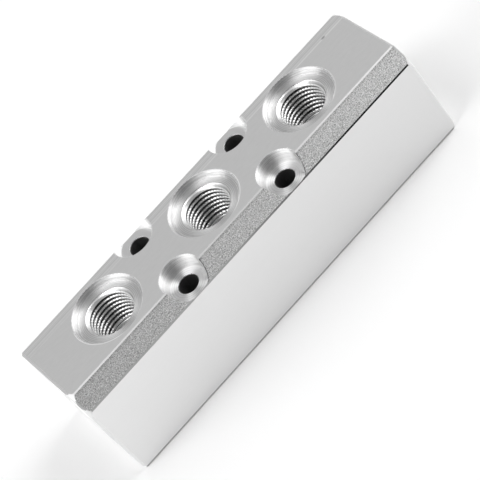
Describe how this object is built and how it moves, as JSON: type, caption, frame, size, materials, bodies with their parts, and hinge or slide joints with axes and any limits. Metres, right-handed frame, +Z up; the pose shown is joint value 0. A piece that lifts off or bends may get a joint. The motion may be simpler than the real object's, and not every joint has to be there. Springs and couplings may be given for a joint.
{
  "type": "air manifold block",
  "caption": "Aluminium air manifold bar with threaded outlets in round seats along its top, counterbored screw holes between them, cut upper corners and a threaded inlet in each end.",
  "frame": {"origin": "middle of the underside, on the surface that the block stands on", "axes": "+X along the bar from the end with the shorter plain stretch to the other, +Z up out of the outlets, +Y across the bar"},
  "size_m": [0.11, 0.03, 0.03],
  "materials": {
    "block_aluminium": "milled faces, fine turned seats and pockets, matt grainy cut corners"
  },
  "bodies": {
    "root": {"manifold_block": "block_aluminium"}
  },
  "joints": []
}
